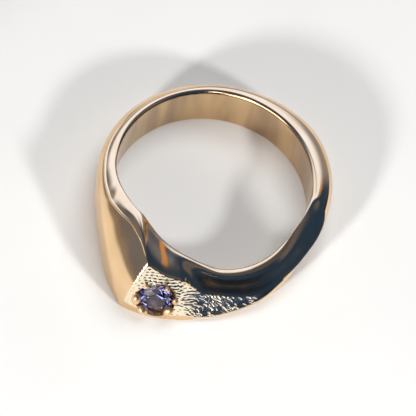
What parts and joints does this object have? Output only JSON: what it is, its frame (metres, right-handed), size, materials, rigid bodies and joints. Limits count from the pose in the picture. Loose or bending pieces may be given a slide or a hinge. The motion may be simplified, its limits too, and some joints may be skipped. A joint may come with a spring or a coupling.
{
  "type": "tanzanite ring",
  "caption": "Finger ring with a rounded band, a folded asymmetrical head and a round stone in a recess in a chiselled face.",
  "frame": {"origin": "middle of the finger hole, on its axis", "axes": "+Z along the finger hole's axis, up when the ring lies on its side; +Y towards the back of the band"},
  "size_m": [0.0204, 0.0234, 0.0067],
  "materials": {
    "gold": "polished yellow gold",
    "tanzanite": "faceted and polished"
  },
  "bodies": {
    "root": {"ring_body": "gold", "tanzanite": "tanzanite"}
  },
  "joints": []
}
